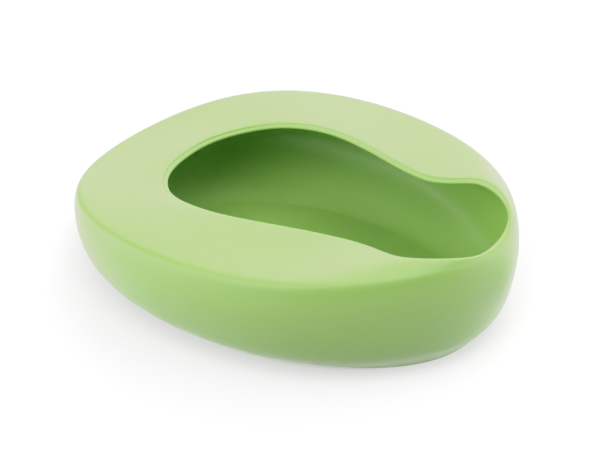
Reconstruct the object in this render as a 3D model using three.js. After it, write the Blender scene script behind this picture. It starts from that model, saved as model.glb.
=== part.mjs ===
// Adult bedpan: a wedge-shaped pan with a pear-shaped opening.
//
// Two thin moulded shells meet along the widest line of the body. The seat shell carries the
// seat, the rolled shoulder and the stepped lip round the opening. The bowl shell carries the
// lower side and the foot. Their rims butt together, and a weld bead fills the V-shaped groove
// that their chamfers leave on the inside.
//
// Millimetres. +X points to the high front end, +Z is up, the foot stands on z = 0, and the
// pan is symmetric about the XZ plane.

import * as THREE from 'three';

// --- Driving dimensions ---------------------------------------------------------------------

const WALL = 2.6;
const JOINT_GAP = 0.3;

// One half of the plan, from the front tip to the rear tip. Each station holds control points:
// the widest outline [x, y], the height of the shoulder, and the opening's edge [x, y, z].
const HALF_PLAN = [
  { outline: [182, 0], shoulder: 93, opening: [175, 0, 93.5] },
  { outline: [174, 42], shoulder: 94, opening: [173, 23.5, 94.8] },
  { outline: [146, 81], shoulder: 96, opening: [164.5, 43, 101] },
  { outline: [102, 117], shoulder: 95, opening: [127.5, 70.5, 102.5] },
  { outline: [51, 139], shoulder: 92, opening: [95.5, 49.5, 92] },
  { outline: [-5.5, 147], shoulder: 90.5, opening: [42, 65, 95] },
  { outline: [-63, 142.5], shoulder: 88, opening: [-14, 80, 94] },
  { outline: [-114, 123], shoulder: 83.5, opening: [-58.5, 74.5, 88.5] },
  { outline: [-153, 89.5], shoulder: 75, opening: [-85.5, 59.5, 82.5] },
  { outline: [-178.5, 46.5], shoulder: 65, opening: [-106, 32, 79.5] },
  { outline: [-188, 0], shoulder: 60.5, opening: [-109.5, 0, 79] },
];

// The widest line lies at mid-height, a little lower at the front and higher at the rear.
const WIDEST_HEIGHT = 38;
const WIDEST_TILT = 4.5;

// The foot is an oval ring that stands on the floor round a slightly arched middle.
const FOOT_CENTRE = 15;
const FOOT_HALF_LENGTH = 140;
const FOOT_HALF_WIDTH = 93;
const FOOT_RAISE = 2.5;

// The lower side leaves the foot at a shallow slope and turns up into the widest line.
const LOWER_SIDE = { reach: 0.35, rise: 0.22 };
const MIDDLE_SIDE = { reach: 0.84, rise: 0.62 };

// The upper side leans out before it rolls over the shoulder, most of all at the front.
const UPPER_SIDE_RISE = 0.62;
const SIDE_BULGE = 0.5;
const FRONT_BULGE = 8.5;
const SHOULDER_RADIUS = 4;
const SHOULDER_RADIUS_FRONT = 14;
const SEAT_RUN_IN = 5;

// Round the opening the seat steps down to a narrow ledge that ends in a rounded nose.
const STEP_RUN = 1;
const STEP_DROP = 1.4;
const LEDGE_WIDTH = 1.8;
const NOSE_RADIUS = 1.3;
const NOSE_FACETS = 4;
const LIP_BACK = 1;

// The step and its ledge fade away round the front of the opening, down to a trace of their
// size (0 is the rear tip, 1 the front tip).
const STEP_FADE_START = 0.8;
const STEP_FADE_END = 0.95;
const STEP_TRACE = 0.05;

// The rims of the shells meet here: each is chamfered at 45 degrees on the inside.
const CHAMFER = 1.6;
const BEAD_CROWN = 0.25;

// Mesh density round the pan, and the places along the profile where a row of points is set.
// The profile is measured in rows of profileRows(): 0 is the middle of the foot.
const SLICES_PER_STATION = 3;
const WELD_ROW = 9;
const BOWL_ROWS = [1, 2, 3, 4, 5, 6, 6.5, 7, 7.5, 8, 8.5];
const SEAT_ROWS = [9.5, 10, 10.4, 10.8, 11.2, 11.6, 12, 12.5, 13, 14];
const EDGE_ROW = 15;

// The short way along a curve over which its direction is taken.
const NUDGE = 0.01;

// --- Splines --------------------------------------------------------------------------------

// Weights of the four control points that act on one span of a uniform cubic B-spline.
function splineWeights(f) {
  const g = 1 - f;
  return [
    g ** 3 / 6,
    (3 * f ** 3 - 6 * f ** 2 + 4) / 6,
    (3 * g ** 3 - 6 * g ** 2 + 4) / 6,
    f ** 3 / 6,
  ];
}

function blend(points, weights) {
  const sum = new THREE.Vector3();
  points.forEach((point, i) => sum.addScaledVector(point, weights[i]));
  return sum;
}

// A half list of control points from front to rear, completed by its mirror image.
function mirrored(half) {
  const otherHalf = half.slice(1, -1).reverse();
  return [...half, ...otherHalf.map((point) => new THREE.Vector3(point.x, -point.y, point.z))];
}

function closedSpline(points, u) {
  const span = Math.floor(u);
  const count = points.length;
  const near = [-1, 0, 1, 2].map((k) => points[(span + k + 2 * count) % count]);
  return blend(near, splineWeights(u - span));
}

// An open spline that starts and ends on its first and last control points.
function openSpline(points, s) {
  const last = points.length - 1;
  const before = points[0].clone().multiplyScalar(2).sub(points[1]);
  const after = points[last].clone().multiplyScalar(2).sub(points[last - 1]);
  const padded = [before, ...points, after];
  const span = Math.min(Math.floor(s), last - 1);
  return blend(padded.slice(span, span + 4), splineWeights(s - span));
}

// --- Outer skin -----------------------------------------------------------------------------

const OUTLINE = mirrored(HALF_PLAN.map((p) => new THREE.Vector3(...p.outline, 0)));
const OPENING = mirrored(HALF_PLAN.map((p) => new THREE.Vector3(...p.opening)));
const SHOULDER = mirrored(HALF_PLAN.map((p) => new THREE.Vector3(0, 0, p.shoulder)));
const STATIONS = OUTLINE.length;
const SLICES = STATIONS * SLICES_PER_STATION;

const angleAt = (u) => (2 * Math.PI * u) / STATIONS;
const frontness = (u) => (1 + Math.cos(angleAt(u))) / 2;

// Control points of the profile at station u, from the middle of the foot to the opening.
function profileRows(u) {
  const outline = closedSpline(OUTLINE, u);
  const edge = closedSpline(OPENING, u);
  const shoulderHeight = closedSpline(SHOULDER, u).z;
  const angle = angleAt(u);
  const front = frontness(u);
  const widest = WIDEST_HEIGHT - WIDEST_TILT * Math.cos(angle);

  const across = new THREE.Vector3(edge.x - outline.x, edge.y - outline.y, 0);
  const seatWidth = across.length();
  const inward = across.clone().normalize();
  const extraRadius = (SHOULDER_RADIUS_FRONT - SHOULDER_RADIUS) * front ** 2;
  const radius = Math.min(SHOULDER_RADIUS + extraRadius, 0.4 * seatWidth);
  const rollWidth = 1.5 * radius;
  const rollShare = (rollWidth / seatWidth) ** 1.5;
  const bulge = SIDE_BULGE + FRONT_BULGE * front;

  const foot = (scale, z) => {
    const x = FOOT_CENTRE + scale * FOOT_HALF_LENGTH * Math.cos(angle);
    return new THREE.Vector3(x, scale * FOOT_HALF_WIDTH * Math.sin(angle), z);
  };
  const side = ({ reach, rise }) => foot(1, 0).lerp(outline, reach).setZ(rise * widest);
  const fromOutline = (distance, z) => outline.clone().addScaledVector(inward, distance).setZ(z);
  const fromEdge = (distance, z) => edge.clone().addScaledVector(inward, -distance).setZ(z);
  const seatStart = fromOutline(rollWidth, THREE.MathUtils.lerp(shoulderHeight, edge.z, rollShare));
  const seatEnd = fromEdge(Math.min(SEAT_RUN_IN, 0.25 * seatWidth), edge.z);

  return [
    foot(0, FOOT_RAISE),
    foot(0.35, FOOT_RAISE),
    foot(0.68, 0.35 * FOOT_RAISE),
    foot(0.86, 0),
    foot(0.92, 0),
    foot(0.98, 0),
    foot(1.04, 0),
    side(LOWER_SIDE),
    side(MIDDLE_SIDE),
    fromOutline(0, widest),
    fromOutline(-bulge, THREE.MathUtils.lerp(widest, shoulderHeight, UPPER_SIDE_RISE)),
    fromOutline(0.45 * radius, shoulderHeight - 0.12 * radius),
    seatStart,
    seatStart.clone().lerp(seatEnd, 0.5),
    seatEnd,
    edge,
  ];
}

const skinPoint = (u, s) => openSpline(profileRows(u), s);

// Directions on the skin at station u: up the profile, and straight out of the wall.
function skinFrame(u, s) {
  const low = Math.max(s - NUDGE, 0);
  const high = Math.min(s + NUDGE, EDGE_ROW);
  const around = skinPoint(u + NUDGE, s).sub(skinPoint(u - NUDGE, s)).normalize();
  const along = skinPoint(u, high).sub(skinPoint(u, low)).normalize();
  const outward = around.clone().cross(along).normalize();
  return { along, outward };
}

// A point beside the skin: moved along the profile, and outward (or inward when negative).
function besideSkin(u, s, alongBy, outwardBy) {
  const { along, outward } = skinFrame(u, s);
  return skinPoint(u, s).addScaledVector(along, alongBy).addScaledVector(outward, outwardBy);
}

// --- Lip round the opening ------------------------------------------------------------------

// The lip's section at station u, from the top of the step to the underside of the nose.
function lipPoints(u) {
  const edge = closedSpline(OPENING, u);
  const tangent = closedSpline(OPENING, u + NUDGE).sub(closedSpline(OPENING, u - NUDGE));
  const inward = new THREE.Vector3(-tangent.y, tangent.x, 0).normalize();
  const fade = THREE.MathUtils.smoothstep(frontness(u), STEP_FADE_START, STEP_FADE_END);
  const left = THREE.MathUtils.lerp(1, STEP_TRACE, fade);
  const drop = STEP_DROP * left;
  const place = (run, z) => edge.clone().addScaledVector(inward, run).setZ(edge.z + z);

  const points = [place(0, 0), place(0.7 * STEP_RUN, -0.2 * drop), place(STEP_RUN, -drop)];
  for (let i = 0; i <= NOSE_FACETS; i += 1) {
    const turn = Math.PI * (0.5 - i / NOSE_FACETS);
    const run = STEP_RUN + LEDGE_WIDTH * left + NOSE_RADIUS * Math.cos(turn);
    points.push(place(run, -drop + NOSE_RADIUS * (Math.sin(turn) - 1)));
  }
  points.push(place(-LIP_BACK, -drop - 2 * NOSE_RADIUS));
  return points;
}

// --- Bodies swept round the pan -------------------------------------------------------------

// One slice of points per station round the pan, skinned into a closed body. A section that
// closes on itself gives a ring; otherwise its first and last points lie on the pan's middle.
function sweep(sectionAt, sectionCloses) {
  const slices = [];
  for (let i = 0; i < SLICES; i += 1) {
    slices.push(sectionAt(i / SLICES_PER_STATION));
  }
  const size = slices[0].length;
  const positions = slices.flat().flatMap((point) => point.toArray());
  const index = [];
  for (let i = 0; i < SLICES; i += 1) {
    const here = i * size;
    const next = ((i + 1) % SLICES) * size;
    const steps = sectionCloses ? size : size - 1;
    for (let j = 0; j < steps; j += 1) {
      const k = (j + 1) % size;
      const startsOnMiddle = !sectionCloses && j === 0;
      const endsOnMiddle = !sectionCloses && k === size - 1;
      if (!startsOnMiddle) index.push(here + j, next + j, next + k);
      if (!endsOnMiddle) index.push(here + j, next + k, here + k);
    }
  }
  const geometry = new THREE.BufferGeometry();
  geometry.setAttribute('position', new THREE.Float32BufferAttribute(positions, 3));
  geometry.setIndex(index);
  geometry.computeVertexNormals();
  return geometry;
}

function bowlSection(u) {
  const middle = new THREE.Vector3(FOOT_CENTRE, 0, FOOT_RAISE);
  const outer = BOWL_ROWS.map((s) => skinPoint(u, s));
  const inner = BOWL_ROWS.map((s) => besideSkin(u, s, 0, -WALL)).reverse();
  return [middle, ...outer, ...rimPoints(u, -1), ...inner, middle.clone().setZ(FOOT_RAISE + WALL)];
}

function seatSection(u) {
  const outer = SEAT_ROWS.map((s) => skinPoint(u, s));
  const inner = SEAT_ROWS.map((s) => besideSkin(u, s, 0, -WALL)).reverse();
  return [...outer, ...lipPoints(u), ...inner, ...rimPoints(u, 1).reverse()];
}

// The rim of one shell at the joint, outside to inside: side is -1 for the bowl, 1 for the seat.
function rimPoints(u, side) {
  return [
    besideSkin(u, WELD_ROW, (side * JOINT_GAP) / 2, 0),
    besideSkin(u, WELD_ROW, (side * JOINT_GAP) / 2, CHAMFER - WALL),
    besideSkin(u, WELD_ROW, side * (JOINT_GAP / 2 + CHAMFER), -WALL),
  ];
}

// A three-sided bead with a slightly crowned face, JOINT_GAP clear of both chamfers.
function beadSection(u) {
  const half = JOINT_GAP / 2 + CHAMFER - JOINT_GAP * Math.SQRT2;
  return [
    besideSkin(u, WELD_ROW, 0, half - WALL),
    besideSkin(u, WELD_ROW, half, -WALL),
    besideSkin(u, WELD_ROW, 0, -WALL - BEAD_CROWN),
    besideSkin(u, WELD_ROW, -half, -WALL),
  ];
}

// --- Pieces ---------------------------------------------------------------------------------

const LEAF_GREEN = 0x89b652;

function piece(name, geometry, roughness) {
  const material = new THREE.MeshStandardMaterial({ color: LEAF_GREEN, roughness, metalness: 0 });
  const mesh = new THREE.Mesh(geometry, material);
  mesh.name = name;
  return mesh;
}

const bedpan = new THREE.Group();
bedpan.add(piece('seat_shell', sweep(seatSection, true), 0.45));
bedpan.add(piece('bowl_shell', sweep(bowlSection, false), 0.45));
bedpan.add(piece('weld_bead', sweep(beadSection, true), 0.6));

export default bedpan;
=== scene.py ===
"""Looks of the bedpan: satin green shells on a white floor, in the frame of the CAD model."""

import math

import bmesh
import bpy
import numpy as np
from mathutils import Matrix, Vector


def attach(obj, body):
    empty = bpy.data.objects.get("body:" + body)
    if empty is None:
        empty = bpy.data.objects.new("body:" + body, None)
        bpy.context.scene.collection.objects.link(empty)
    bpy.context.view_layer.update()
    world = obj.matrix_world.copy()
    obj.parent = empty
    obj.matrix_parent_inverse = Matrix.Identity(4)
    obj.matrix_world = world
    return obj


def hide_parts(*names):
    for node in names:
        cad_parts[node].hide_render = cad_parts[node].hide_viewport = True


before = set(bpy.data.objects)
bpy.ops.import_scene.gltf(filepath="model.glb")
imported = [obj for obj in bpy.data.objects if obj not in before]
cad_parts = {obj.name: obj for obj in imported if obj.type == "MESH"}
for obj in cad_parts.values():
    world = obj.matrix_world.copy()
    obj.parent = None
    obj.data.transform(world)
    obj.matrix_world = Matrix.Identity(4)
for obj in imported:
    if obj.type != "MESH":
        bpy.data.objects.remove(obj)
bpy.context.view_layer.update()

MM = 0.001

# --- Driving dimensions, as in the CAD model (millimetres) ------------------------------------

WALL = 2.6

# One half of the plan, from the front tip to the rear tip: control points of the widest outline
# (x, y), the height of the shoulder, and the edge of the opening (x, y, z).
HALF_PLAN = [
    ((182, 0), 93, (175, 0, 93.5)),
    ((174, 42), 94, (173, 23.5, 94.8)),
    ((146, 81), 96, (164.5, 43, 101)),
    ((102, 117), 95, (127.5, 70.5, 102.5)),
    ((51, 139), 92, (95.5, 49.5, 92)),
    ((-5.5, 147), 90.5, (42, 65, 95)),
    ((-63, 142.5), 88, (-14, 80, 94)),
    ((-114, 123), 83.5, (-58.5, 74.5, 88.5)),
    ((-153, 89.5), 75, (-85.5, 59.5, 82.5)),
    ((-178.5, 46.5), 65, (-106, 32, 79.5)),
    ((-188, 0), 60.5, (-109.5, 0, 79)),
]

WIDEST_HEIGHT = 38
WIDEST_TILT = 4.5
FOOT_CENTRE = 15
FOOT_HALF_LENGTH = 140
FOOT_HALF_WIDTH = 93
FOOT_RAISE = 2.5
# The profile's rows across the foot, as shares of its half size: the arched middle, each row with
# its share of the raise, and the flat ring.
FOOT_ARCH = ((0, 1), (0.35, 1), (0.68, 0.35))
FOOT_FLAT = (0.86, 0.92, 0.98, 1.04)
LOWER_SIDE = (0.35, 0.22)
MIDDLE_SIDE = (0.84, 0.62)
UPPER_SIDE_RISE = 0.62
SIDE_BULGE = 0.5
FRONT_BULGE = 8.5
SHOULDER_RADIUS = 4
SHOULDER_RADIUS_FRONT = 14
SEAT_RUN_IN = 5
# The roll over the shoulder, in radii: its width, and how far in and down its row lies.
ROLL_WIDTH = 1.5
ROLL_IN = 0.45
ROLL_DOWN = 0.12
# How fast the roll climbs to the height of the edge where the seat is narrow.
ROLL_CLIMB = 1.5
# The radius and the run-in stay within these shares of the seat's width.
RADIUS_LIMIT = 0.4
RUN_IN_LIMIT = 0.25

STEP_RUN = 1
STEP_DROP = 1.4
LEDGE_WIDTH = 1.8
NOSE_RADIUS = 1.3
LIP_BACK = 1
# Under the lip: the runs of its flat rows, then rows that climb back to the wall, each with its
# distance back in LIP_BACKs and its share of the climb.
LIP_UNDERSIDE = (1.4, 0.2)
LIP_CLIMB = ((1, 0.12), (2.2, 0.5))
STEP_FADE_START = 0.8
STEP_FADE_END = 0.95
STEP_TRACE = 0.05

WELD_ROW = 9
EDGE_ROW = 15
CHAMFER = 1.6
BEAD_CROWN = 0.03
SEAM = 0.03

# --- Mesh density -----------------------------------------------------------------------------

SLICES_PER_STATION = 16
# Places along the profile, in its rows: the shells run up to NEAR_WELD of the joint.
NEAR_WELD = 0.04
BOWL_STEP = 0.125
SEAT_STEP = 0.1
SEAT_END = 14.6
FOOT_MIDDLE_ROWS = [0.3, 0.7]
BOWL_STEPS = np.arange(1, WELD_ROW, BOWL_STEP)
BOWL_ROWS = np.concatenate([FOOT_MIDDLE_ROWS, BOWL_STEPS, [WELD_ROW - NEAR_WELD]])
SEAT_STEPS = np.arange(WELD_ROW + BOWL_STEP, SEAT_END, SEAT_STEP)
SEAT_ROWS = np.concatenate([[WELD_ROW + NEAR_WELD], SEAT_STEPS])
SEAT_TO_EDGE = [14.8, 14.9]
STEP_STEPS = 10
NOSE_STEPS = 12
BEAD_STEPS = 9
# The row of points across the ledge, as a share of its width.
LEDGE_ROW = 0.6
# Edges that bend by more than this are shaded sharp (degrees).
SHARP_ANGLE = 42
# The short way along a curve over which its direction is taken.
NUDGE = 0.01

# --- Splines ----------------------------------------------------------------------------------


def spline_weights(f):
    """Weights of the four control points on one span of a uniform cubic B-spline."""
    g = 1 - f
    second = (3 * f**3 - 6 * f**2 + 4) / 6
    third = (3 * g**3 - 6 * g**2 + 4) / 6
    return np.stack([g**3 / 6, second, third, f**3 / 6])


def mirrored(half):
    """A half list of control points from front to rear, completed by its mirror image."""
    half = np.array(half, float)
    return np.concatenate([half, half[-2:0:-1] * [1, -1, 1]])


def closed_spline(points, u):
    span = np.floor(u).astype(int)
    near = points[(span + np.arange(-1, 3)[:, None]) % len(points)]
    return np.einsum("kn,knd->nd", spline_weights(u - span), near)


def open_spline(rows, s):
    """The point at s on the open spline through rows, which starts and ends on its end rows."""
    padded = np.concatenate([[2 * rows[0] - rows[1]], rows, [2 * rows[-1] - rows[-2]]])
    span = min(int(s), len(rows) - 2)
    return np.einsum("k,knd->nd", spline_weights(s - span), padded[span : span + 4])


# --- Outer skin -------------------------------------------------------------------------------

OUTLINE = mirrored([(x, y, 0) for (x, y), _, _ in HALF_PLAN])
SHOULDER = mirrored([(0, 0, z) for _, z, _ in HALF_PLAN])
OPENING = mirrored([edge for _, _, edge in HALF_PLAN])
STATIONS = len(OUTLINE)
U = np.arange(STATIONS * SLICES_PER_STATION) / SLICES_PER_STATION


def lerp(a, b, t):
    return a + (b - a) * t


def smoothstep(x, low, high):
    t = np.clip((x - low) / (high - low), 0, 1)
    return t * t * (3 - 2 * t)


def frontness(u):
    return (1 + np.cos(2 * math.pi * u / STATIONS)) / 2


def at_height(xy, z):
    return np.stack([xy[:, 0], xy[:, 1], np.broadcast_to(z, len(xy))], axis=1)


def profile_rows(u):
    """Control points of the profile at stations u, from the middle of the foot to the opening."""
    outline = closed_spline(OUTLINE, u)
    edge = closed_spline(OPENING, u)
    shoulder = closed_spline(SHOULDER, u)[:, 2]
    angle = 2 * math.pi * u / STATIONS
    front = frontness(u)
    widest = WIDEST_HEIGHT - WIDEST_TILT * np.cos(angle)

    across = (edge - outline)[:, :2]
    seat_width = np.linalg.norm(across, axis=1)
    inward = across / seat_width[:, None]
    extra_radius = (SHOULDER_RADIUS_FRONT - SHOULDER_RADIUS) * front**2
    radius = np.minimum(SHOULDER_RADIUS + extra_radius, RADIUS_LIMIT * seat_width)
    roll_width = ROLL_WIDTH * radius
    roll_share = (roll_width / seat_width) ** ROLL_CLIMB
    bulge = SIDE_BULGE + FRONT_BULGE * front
    run_in = np.minimum(SEAT_RUN_IN, RUN_IN_LIMIT * seat_width)

    def foot(scale, z):
        x = FOOT_CENTRE + scale * FOOT_HALF_LENGTH * np.cos(angle)
        return at_height(np.stack([x, scale * FOOT_HALF_WIDTH * np.sin(angle)], axis=1), z)

    def side(reach, rise):
        return at_height(lerp(foot(1, 0), outline, reach), rise * widest)

    def from_outline(distance, z):
        return at_height(outline[:, :2] + inward * distance[:, None], z)

    seat_start = from_outline(roll_width, lerp(shoulder, edge[:, 2], roll_share))
    seat_end = at_height(edge[:, :2] - inward * run_in[:, None], edge[:, 2])

    return np.stack([
        *[foot(scale, share * FOOT_RAISE) for scale, share in FOOT_ARCH],
        *[foot(scale, 0) for scale in FOOT_FLAT],
        side(*LOWER_SIDE),
        side(*MIDDLE_SIDE),
        at_height(outline, widest),
        from_outline(-bulge, lerp(widest, shoulder, UPPER_SIDE_RISE)),
        from_outline(ROLL_IN * radius, shoulder - ROLL_DOWN * radius),
        seat_start,
        lerp(seat_start, seat_end, 0.5),
        seat_end,
        edge,
    ])


ROWS_HERE = profile_rows(U)
ROWS_AHEAD = profile_rows(U + NUDGE)
ROWS_BEHIND = profile_rows(U - NUDGE)


def unit(v):
    return v / np.linalg.norm(v, axis=1)[:, None]


def skin(s, along_by=0.0, outward_by=0.0):
    """The skin's points at row s, moved along the profile and straight out of the wall."""
    point = open_spline(ROWS_HERE, s)
    around = unit(open_spline(ROWS_AHEAD, s) - open_spline(ROWS_BEHIND, s))
    high = open_spline(ROWS_HERE, min(s + NUDGE, EDGE_ROW))
    along = unit(high - open_spline(ROWS_HERE, s - NUDGE))
    outward = unit(np.cross(around, along))
    return point + along_by * along + outward_by * outward


# --- Lip round the opening --------------------------------------------------------------------


def lip_rows():
    """Rows of points from the top of the step, over the ledge and the nose, to the underside."""
    edge = closed_spline(OPENING, U)
    tangent = closed_spline(OPENING, U + NUDGE) - closed_spline(OPENING, U - NUDGE)
    inward = unit(np.stack([-tangent[:, 1], tangent[:, 0], np.zeros(len(U))], axis=1))
    left = lerp(1, STEP_TRACE, smoothstep(frontness(U), STEP_FADE_START, STEP_FADE_END))
    drop = STEP_DROP * left

    def place(run, z):
        return edge + inward * np.broadcast_to(run, len(U))[:, None] + at_height(0 * edge, z)

    rows = []
    for t in np.linspace(0, 1, STEP_STEPS):
        rows.append(place(STEP_RUN * t, -drop * smoothstep(t, 0, 1)))
    ledge_end = STEP_RUN + LEDGE_WIDTH * left
    rows.append(place(lerp(STEP_RUN, ledge_end, LEDGE_ROW), -drop))
    for turn in np.linspace(0.5 * math.pi, -0.5 * math.pi, NOSE_STEPS):
        run = ledge_end + NOSE_RADIUS * math.cos(turn)
        rows.append(place(run, -drop + NOSE_RADIUS * (math.sin(turn) - 1)))
    underside = -drop - 2 * NOSE_RADIUS
    for run in LIP_UNDERSIDE:
        rows.append(place(run, underside))
    for back, climb in LIP_CLIMB:
        rows.append(place(-back * LIP_BACK, lerp(underside, -WALL, climb)))
    return rows


# --- Bodies swept round the pan ---------------------------------------------------------------


def shell_object(name, rows, closes):
    """A closed body from rows of points round the pan. When closes is false, the first and last
    rows are single points on the pan's middle."""
    count = len(U)
    ring = np.arange(count)
    following = np.roll(ring, -1)
    faces = []
    if closes:
        points = np.concatenate(rows)
        starts = [i * count for i in range(len(rows))]
    else:
        points = np.concatenate([rows[0][:1], *rows[1:-1], rows[-1][:1]])
        starts = [1 + i * count for i in range(len(rows) - 2)]
        last = len(points) - 1
        faces += [(0, b, a) for a, b in zip(starts[0] + ring, starts[0] + following)]
        faces += [(a, b, last) for a, b in zip(starts[-1] + ring, starts[-1] + following)]
    pairs = list(zip(starts, starts[1:] + starts[:1])) if closes else list(zip(starts, starts[1:]))
    for low, high in pairs:
        for a, b in zip(ring, following):
            faces.append((low + a, low + b, high + b, high + a))
    mesh = bpy.data.meshes.new(name)
    mesh.from_pydata(points * MM, [], [tuple(int(i) for i in face) for face in faces])
    mesh.shade_smooth()
    mesh.set_sharp_from_angle(angle=math.radians(SHARP_ANGLE))
    piece = bpy.data.objects.new(name, mesh)
    bpy.context.scene.collection.objects.link(piece)
    return piece


def rim_rows(side):
    """A shell's rim at the joint, outside to inside: side is -1 for the bowl, 1 for the seat."""
    return [
        skin(WELD_ROW, side * SEAM / 2, 0),
        skin(WELD_ROW, side * SEAM / 2, CHAMFER - WALL),
        skin(WELD_ROW, side * (SEAM / 2 + CHAMFER), -WALL),
    ]


def bowl_rows():
    middle = at_height(np.tile([FOOT_CENTRE, 0.0, 0.0], (len(U), 1)), FOOT_RAISE)
    outer = [skin(s) for s in BOWL_ROWS]
    inner = [skin(s, 0, -WALL) for s in BOWL_ROWS[:-1]]
    return [middle, *outer, *rim_rows(-1), *inner[::-1], at_height(middle, FOOT_RAISE + WALL)]


def seat_rows():
    outer = [skin(s) for s in [*SEAT_ROWS, *SEAT_TO_EDGE]]
    inner = [skin(s, 0, -WALL) for s in SEAT_ROWS[1:]]
    return [*outer, *lip_rows(), *inner[::-1], *rim_rows(1)[::-1]]


def bead_rows():
    half = SEAM / 2 + CHAMFER - SEAM * math.sqrt(2)
    crown = [
        skin(WELD_ROW, half * math.cos(turn), -WALL - BEAD_CROWN * math.sin(turn))
        for turn in np.linspace(0, math.pi, BEAD_STEPS)
    ]
    return [skin(WELD_ROW, 0, half - WALL), *crown]


# --- Material ---------------------------------------------------------------------------------

LEAF_GREEN = (0.25, 0.485, 0.085)
LEAF_GREEN_WORN = (0.275, 0.505, 0.105)
REFRACTION = 1.49
GLOW_THROUGH = 0.12
GLOW_COLOUR_REACH = (0.6, 1.0, 0.3)
GLOW_DEPTH = 0.003

# Noise scales, in waves per metre.
CLOUD_SCALE = 14
SCUFF_SCALE = 90
GRAIN_SCALE = 1400

# Scuffs are the peaks of a noise drawn out into hairlines.
SCUFF_STRETCH = (1, 9, 9)
SCUFF_TURN = (0.2, 0.1, 0.5)
SCUFF_PEAKS = (0.70, 0.74)
CLOUD_TINT = 0.5
SCUFF_TINT = 0.35
SMOOTH_ROUGHNESS = 0.41
DULL_ROUGHNESS = 0.47
SCUFF_ROUGHNESS = 0.08
GRAIN_STRENGTH = 0.05
GRAIN_HEIGHT = 0.0002


def satin_plastic():
    """Satin moulded plastic: faint clouding, a fine moulded grain, and hairline scuffs."""
    material = bpy.data.materials.new("green_plastic")
    material.use_nodes = True
    tree = material.node_tree
    nodes, links = tree.nodes, tree.links
    shader = nodes["Principled BSDF"]
    shader.inputs["IOR"].default_value = REFRACTION
    shader.inputs["Subsurface Weight"].default_value = GLOW_THROUGH
    shader.inputs["Subsurface Radius"].default_value = GLOW_COLOUR_REACH
    shader.inputs["Subsurface Scale"].default_value = GLOW_DEPTH

    coords = nodes.new("ShaderNodeTexCoord")

    def noise(scale, detail, stretch=(1, 1, 1), rotation=(0, 0, 0)):
        mapping = nodes.new("ShaderNodeMapping")
        mapping.inputs["Scale"].default_value = stretch
        mapping.inputs["Rotation"].default_value = rotation
        texture = nodes.new("ShaderNodeTexNoise")
        texture.inputs["Scale"].default_value = scale
        texture.inputs["Detail"].default_value = detail
        links.new(coords.outputs["Object"], mapping.inputs["Vector"])
        links.new(mapping.outputs["Vector"], texture.inputs["Vector"])
        return texture.outputs["Fac"]

    def remap(value, low, high, to_low, to_high):
        node = nodes.new("ShaderNodeMapRange")
        node.inputs["From Min"].default_value = low
        node.inputs["From Max"].default_value = high
        node.inputs["To Min"].default_value = to_low
        node.inputs["To Max"].default_value = to_high
        links.new(value, node.inputs["Value"])
        return node.outputs["Result"]

    def add(a, b):
        node = nodes.new("ShaderNodeMath")
        node.operation = "ADD"
        links.new(a, node.inputs[0])
        links.new(b, node.inputs[1])
        return node.outputs["Value"]

    clouds = noise(CLOUD_SCALE, 3)
    scuffs = noise(SCUFF_SCALE, 2, SCUFF_STRETCH, SCUFF_TURN)
    scuff_lines = remap(scuffs, *SCUFF_PEAKS, 0, 1)

    tint = nodes.new("ShaderNodeMix")
    tint.data_type = "RGBA"
    tint.inputs["A"].default_value = (*LEAF_GREEN, 1)
    tint.inputs["B"].default_value = (*LEAF_GREEN_WORN, 1)
    cloud_tint = remap(clouds, 0.35, 0.65, 0, CLOUD_TINT)
    scuff_tint = remap(scuff_lines, 0, 1, 0, SCUFF_TINT)
    links.new(add(cloud_tint, scuff_tint), tint.inputs["Factor"])
    links.new(tint.outputs["Result"], shader.inputs["Base Color"])

    cloud_roughness = remap(clouds, 0.3, 0.7, SMOOTH_ROUGHNESS, DULL_ROUGHNESS)
    scuff_roughness = remap(scuff_lines, 0, 1, 0, SCUFF_ROUGHNESS)
    links.new(add(cloud_roughness, scuff_roughness), shader.inputs["Roughness"])

    grain = noise(GRAIN_SCALE, 2)
    bump = nodes.new("ShaderNodeBump")
    bump.inputs["Strength"].default_value = GRAIN_STRENGTH
    bump.inputs["Distance"].default_value = GRAIN_HEIGHT
    links.new(grain, bump.inputs["Height"])
    links.new(bump.outputs["Normal"], shader.inputs["Normal"])
    return material


# --- Studio -----------------------------------------------------------------------------------

# Three rings of softboxes: elevation in degrees, and the panel's width and height in metres.
LOW = (15, 1.5, 0.8)
HIGH = (45, 1.3, 1.1)
TOP = (72, 1.3, 1.0)

# Softboxes all round the pan: name, direction (0 is the camera's side, 90 its right), ring, and
# power as a share of the key's.
SOFTBOXES = [
    ("right_low", 90, LOW, 1.0),
    ("back_right_low", 135, LOW, 0.95),
    ("back_low", 180, LOW, 0.6),
    ("left_low", 270, LOW, 1.25),
    ("front_left_low", 315, LOW, 0.3),
    ("front_right_high", 45, HIGH, 0.3),
    ("back_high", 180, HIGH, 0.85),
    ("front_left_high", 315, HIGH, 1.05),
    ("front_top", 0, TOP, 0.2),
    ("right_top", 90, TOP, 0.9),
]
KEY_POWER = 21
SOFTBOX_DISTANCE = 1.7
LAMP_TARGET = (0, 0, 0.03)
SKY_STRENGTH = 0.05

# A broad lamp that lights the floor alone, so that the floor prints white round the pan.
FLOOR_LAMP_ELEVATION = 50
FLOOR_LAMP_SPREAD = 50
FLOOR_LAMP_STRENGTH = 8.0

# The white room that the camera sees beyond the floor.
ROOM_RADIUS = 6.0
WHITE_VINYL = (0.9, 0.9, 0.9, 1)
BLACK = (0, 0, 0, 1)
SET_ROUGHNESS = 0.8
ROOM_GLOW = 2.2

# The film's curve: how strongly it rolls off, its last point, and the scene brightnesses between.
FILM_SHOULDER = 0.5
FILM_END = 4.0
FILM_POINTS = (0.05, 0.12, 0.25, 0.45, 0.7, 1.0, 1.4, 2.0)


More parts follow.
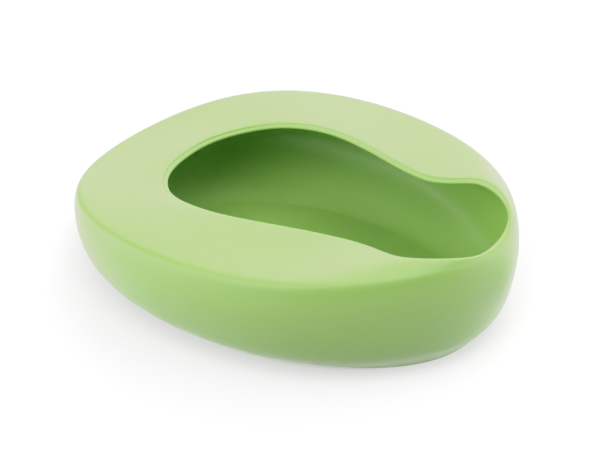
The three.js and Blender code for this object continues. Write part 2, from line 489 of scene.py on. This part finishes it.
def stage_object(name, build, color, glow):
    """A part of the set, built by a bmesh operator. It throws no diffuse light or shadow."""
    shape = bmesh.new()
    build(shape)
    mesh = bpy.data.meshes.new(name)
    shape.to_mesh(mesh)
    shape.free()
    material = bpy.data.materials.new(name)
    material.use_nodes = True
    shader = material.node_tree.nodes["Principled BSDF"]
    shader.inputs["Base Color"].default_value = color
    shader.inputs["Roughness"].default_value = SET_ROUGHNESS
    shader.inputs["Emission Color"].default_value = (1, 1, 1, 1)
    shader.inputs["Emission Strength"].default_value = glow
    mesh.materials.append(material)
    thing = bpy.data.objects.new(name, mesh)
    bpy.context.scene.collection.objects.link(thing)
    thing.visible_diffuse = False
    thing.visible_shadow = False
    return thing


def add_room():
    def disc(shape):
        bmesh.ops.create_circle(shape, cap_ends=True, segments=96, radius=ROOM_RADIUS)

    def ball(shape):
        bmesh.ops.create_icosphere(shape, subdivisions=5, radius=ROOM_RADIUS)

    floor = stage_object("floor", disc, WHITE_VINYL, 0)
    room = stage_object("room", ball, BLACK, ROOM_GLOW)
    room.visible_glossy = False
    return floor


def aim(thing, place, target):
    thing.location = place
    thing.rotation_euler = (Vector(target) - Vector(place)).to_track_quat("-Z", "Y").to_euler()


def towards(turn, rise):
    """The direction from the pan at an azimuth and elevation in degrees: 0 looks along +Y."""
    turn, rise = math.radians(turn), math.radians(rise)
    level = math.cos(rise)
    return Vector((math.sin(turn) * level, -math.cos(turn) * level, math.sin(rise)))


def add_lamp(name, kind, turn, rise):
    """A lamp that shines on the pan from a direction given from the camera's side."""
    light = bpy.data.lights.new(name, kind)
    lamp = bpy.data.objects.new(name, light)
    bpy.context.scene.collection.objects.link(lamp)
    aim(lamp, SOFTBOX_DISTANCE * towards(CAMERA_AZIMUTH + turn, rise), LAMP_TARGET)
    lamp.visible_camera = False
    return lamp


def add_studio(floor):
    for name, turn, (rise, width, height), share in SOFTBOXES:
        light = add_lamp(name, "AREA", turn, rise).data
        light.shape = "RECTANGLE"
        light.size = width
        light.size_y = height
        light.energy = KEY_POWER * share
    floor_lamp = add_lamp("floor_lamp", "SUN", 0, FLOOR_LAMP_ELEVATION)
    floor_lamp.data.angle = math.radians(FLOOR_LAMP_SPREAD)
    floor_lamp.data.energy = FLOOR_LAMP_STRENGTH
    lit = bpy.data.collections.new("lit_by_floor_lamp")
    lit.objects.link(floor)
    floor_lamp.light_linking.receiver_collection = lit
    world = bpy.data.worlds.new("studio")
    world.use_nodes = True
    background = world.node_tree.nodes["Background"]
    background.inputs["Color"].default_value = (1, 1, 1, 1)
    background.inputs["Strength"].default_value = SKY_STRENGTH
    bpy.context.scene.world = world


def printed(brightness):
    return brightness / (1 + brightness * FILM_SHOULDER)


def add_film():
    """Highlights that roll off softly, as on the print of a bright studio shot."""
    view = bpy.context.scene.view_settings
    view.view_transform = "Standard"
    view.use_curve_mapping = True
    mapping = view.curve_mapping
    mapping.use_clip = False
    curve = mapping.curves[3]
    curve.points[1].location = (FILM_END, printed(FILM_END))
    for brightness in FILM_POINTS:
        curve.points.new(brightness, printed(brightness))
    mapping.update()


# The camera looks down on the near side from the front: a short telephoto about a metre away.
CAMERA_AZIMUTH = 32.96
CAMERA_ELEVATION = 33.5
CAMERA_DISTANCE = 1140.0
CAMERA_TARGET = (-1.0, 0.0, 45.0)
CAMERA_PAN = (4.5, 1.36)
CAMERA_LENS = 86.23
CAMERA_SENSOR = 36


def add_camera():
    turn = math.radians(CAMERA_AZIMUTH)
    back = towards(CAMERA_AZIMUTH, CAMERA_ELEVATION)
    right = Vector((math.cos(turn), math.sin(turn), 0))
    up = back.cross(right)
    target = Vector(CAMERA_TARGET) + CAMERA_PAN[0] * right + CAMERA_PAN[1] * up
    data = bpy.data.cameras.new("camera")
    data.sensor_width = CAMERA_SENSOR
    data.lens = CAMERA_LENS
    camera = bpy.data.objects.new("camera", data)
    bpy.context.scene.collection.objects.link(camera)
    aim(camera, (target + CAMERA_DISTANCE * back) * MM, target * MM)
    bpy.context.scene.camera = camera


# --- Pieces -----------------------------------------------------------------------------------


def add_piece(name, rows, closes, material):
    piece = shell_object(name, rows, closes)
    piece.data.materials.append(material)
    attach(piece, "root")
    return piece


plastic = satin_plastic()
seat = add_piece("seat_moulding", seat_rows(), True, plastic)
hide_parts("seat_shell")
bowl = add_piece("bowl_moulding", bowl_rows(), False, plastic)
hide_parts("bowl_shell")
bead = add_piece("weld_line", bead_rows(), True, plastic)
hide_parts("weld_bead")

add_studio(add_room())
add_film()
add_camera()
